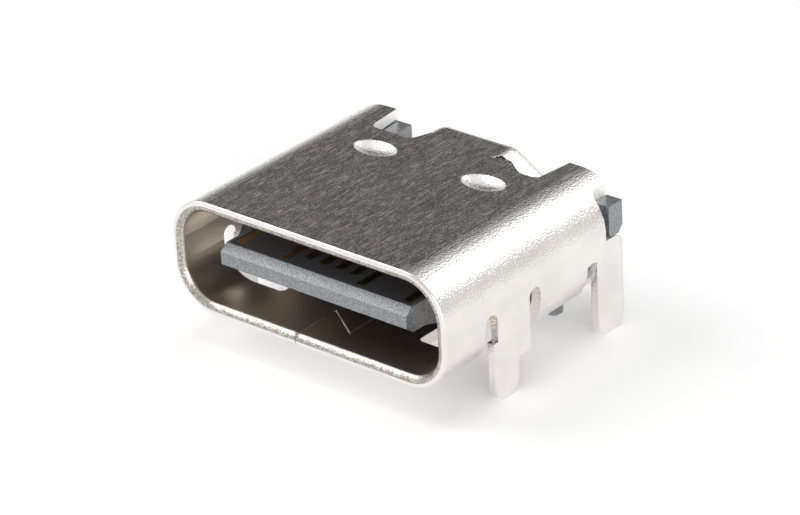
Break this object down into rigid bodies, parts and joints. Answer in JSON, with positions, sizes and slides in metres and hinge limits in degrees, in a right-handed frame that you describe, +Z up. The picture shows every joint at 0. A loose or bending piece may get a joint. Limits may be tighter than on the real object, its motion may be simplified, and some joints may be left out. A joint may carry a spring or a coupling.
{
  "type": "charging port connector",
  "caption": "Board-mounted charging port receptacle: folded metal shell with four board legs, flat plastic tongue with contacts, and rear solder tails.",
  "frame": {"origin": "middle of the four shell legs, on the board plane, which is the underside of the shell", "axes": "+X across to the right seen from the mouth, +Y from the mouth to the rear, +Z up from the board"},
  "size_m": [0.009, 0.0078, 0.0041],
  "materials": {
    "shell": "rolled nickel-plated steel with fine rolling marks",
    "housing": "moulded glass-filled plastic, satin",
    "plate": "stamped spring steel",
    "carrier": "moulded black plastic",
    "contacts": "gold-plated copper alloy"
  },
  "bodies": {
    "root": {"outer_shell": "shell", "housing": "housing", "mid_plate": "plate", "upper_contact_carrier": "carrier", "lower_contact_carrier": "carrier", "upper_contact_1": "contacts", "upper_contact_2": "contacts", "upper_contact_3": "contacts", "upper_contact_4": "contacts", "upper_contact_5": "contacts", "upper_contact_6": "contacts", "upper_contact_7": "contacts", "upper_contact_8": "contacts", "lower_contact_1": "contacts", "lower_contact_2": "contacts", "lower_contact_3": "contacts", "lower_contact_4": "contacts", "lower_contact_5": "contacts", "lower_contact_6": "contacts", "lower_contact_7": "contacts", "lower_contact_8": "contacts"}
  },
  "joints": []
}
